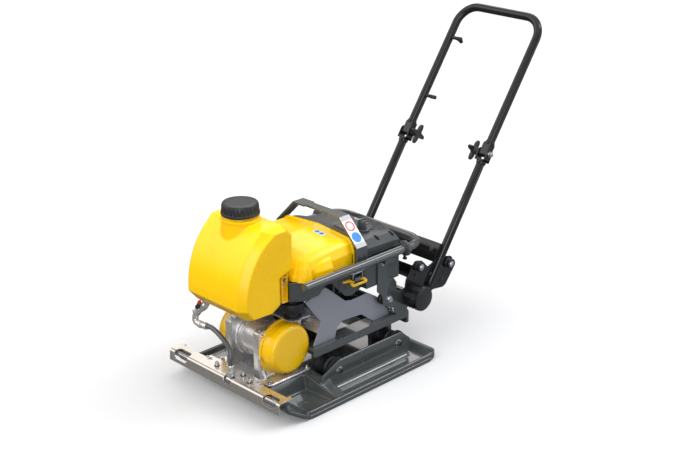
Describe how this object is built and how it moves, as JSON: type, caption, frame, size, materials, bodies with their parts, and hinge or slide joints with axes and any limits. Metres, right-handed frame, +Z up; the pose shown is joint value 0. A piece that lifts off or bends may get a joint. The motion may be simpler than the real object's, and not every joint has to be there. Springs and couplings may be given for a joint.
{
  "type": "plate compactor",
  "caption": "Walk-behind plate compactor: dished base plate, rotary exciter with domed covers, sprinkler tank and bar, battery console under a guard tube, folding handle.",
  "frame": {"origin": "on the ground at the centre of the base plate's flat underside", "axes": "+Z up, +X the machine's right side as the operator sees it, +Y towards the handle, -Y towards the water tank"},
  "size_m": [0.5, 1.2284, 0.943],
  "materials": {
    "yellow_plastic": "moulded plastic, satin gloss",
    "yellow_paint": "glossy yellow powder coat",
    "grey_paint": "dark grey paint, satin gloss",
    "grey_plastic": "moulded plastic, fine grain",
    "black_paint": "black paint, glossy",
    "black_plastic": "moulded, fine grain",
    "rubber": "black moulded rubber",
    "zinc_sheet": "bright folded sheet, zinc plated",
    "silver_paint": "silver-grey paint",
    "cast_aluminium": "as cast, machined faces",
    "steel": "bright machined",
    "nickel_brass": "nickel-plated fittings",
    "copper_winding": "varnished copper winding on laminations"
  },
  "bodies": {
    "machine": {"water_tank": "yellow_plastic", "hood": "yellow_plastic", "tank_bracket": "yellow_paint", "exciter_cover_right": "yellow_paint", "exciter_cover_left": "yellow_paint", "base_plate": "grey_paint", "lower_frame": "grey_paint", "guard_tube": "grey_paint", "lifting_arch": "grey_paint", "rear_bracket_right": "grey_paint", "rear_bracket_left": "grey_paint", "console_tray": "grey_plastic", "console_bridge": "grey_plastic", "guard_clamp_right": "grey_plastic", "guard_clamp_left": "grey_plastic", "motor_cable_gland": "black_plastic", "buffer_front_right": "rubber", "buffer_front_left": "rubber", "buffer_rear_right": "rubber", "buffer_rear_left": "rubber", "front_mount_right": "rubber", "front_mount_left": "rubber", "water_hose": "rubber", "sprinkler_bar": "zinc_sheet", "side_plate_right": "silver_paint", "side_plate_left": "silver_paint", "cross_sheet": "silver_paint", "exciter_housing": "cast_aluminium", "motor_controller": "cast_aluminium", "spray_tube": "steel", "shaft_bearing_right": "steel", "shaft_bearing_left": "steel", "buffer_bolt_front_right": "steel", "buffer_bolt_front_left": "steel", "buffer_bolt_rear_right": "steel", "buffer_bolt_rear_left": "steel", "pivot_axle": "steel", "spray_inlet": "nickel_brass", "valve_body": "nickel_brass", "hose_elbow": "nickel_brass", "motor_stator": "copper_winding"},
    "rotor": {"motor_rotor": "steel", "eccentric_weight_right": "steel", "eccentric_weight_left": "steel"},
    "cap": {"tank_cap": "black_plastic"},
    "valve_lever": {"valve_lever": "black_plastic"},
    "battery": {"battery_pack": "grey_plastic"},
    "selector": {"selector_knob": "black_plastic"},
    "latch_right": {"latch_right": "yellow_paint"},
    "latch_left": {"latch_left": "yellow_paint"},
    "lower_handle": {"lower_handle": "black_paint", "handle_hub_right": "black_plastic", "handle_hub_left": "black_plastic", "bumper_front_right": "rubber", "bumper_front_left": "rubber", "bumper_rear_right": "rubber", "bumper_rear_left": "rubber"},
    "upper_handle": {"upper_handle": "black_paint"},
    "star_knob_right": {"star_knob_right": "black_plastic"},
    "star_knob_left": {"star_knob_left": "black_plastic"}
  },
  "joints": [
    {"name": "exciter_spin", "type": "hinge", "parent": "machine", "child": "rotor", "pos_m": [0, -0.205, 0.15], "axis": [1, 0, 0], "continuous": true},
    {"name": "cap_turn", "type": "hinge", "parent": "machine", "child": "cap", "pos_m": [0, -0.277, 0.56], "axis": [0, 0, 1], "continuous": true},
    {"name": "valve_turn", "type": "hinge", "parent": "machine", "child": "valve_lever", "pos_m": [-0.1161, -0.3274, 0.2538], "axis": [0, -1, 0], "range_deg": [0, 90]},
    {"name": "battery_lift", "type": "slide", "parent": "machine", "child": "battery", "axis": [0, 0, 1], "range_m": [0, 0.15]},
    {"name": "selector_turn", "type": "hinge", "parent": "battery", "child": "selector", "pos_m": [0.075, 0.118, 0.43], "axis": [0, 0, 1], "range_deg": [-45, 45]},
    {"name": "latch_right_swing", "type": "hinge", "parent": "machine", "child": "latch_right", "pos_m": [0.1546, 0.019, 0.334], "axis": [0, -1, 0], "range_deg": [0, 75]},
    {"name": "latch_left_swing", "type": "hinge", "parent": "machine", "child": "latch_left", "pos_m": [-0.1546, 0.019, 0.334], "axis": [0, 1, 0], "range_deg": [0, 75]},
    {"name": "handle_tilt", "type": "hinge", "parent": "machine", "child": "lower_handle", "pos_m": [0, 0.244, 0.1915], "axis": [1, 0, 0], "range_deg": [0, 32]},
    {"name": "handle_fold", "type": "hinge", "parent": "lower_handle", "child": "upper_handle", "pos_m": [0, 0.567, 0.56], "axis": [1, 0, 0], "range_deg": [0, 115]},
    {"name": "star_right_turn", "type": "hinge", "parent": "lower_handle", "child": "star_knob_right", "pos_m": [0.1165, 0.567, 0.56], "axis": [1, 0, 0], "continuous": true},
    {"name": "star_left_turn", "type": "hinge", "parent": "lower_handle", "child": "star_knob_left", "pos_m": [-0.1165, 0.567, 0.56], "axis": [1, 0, 0], "continuous": true}
  ]
}
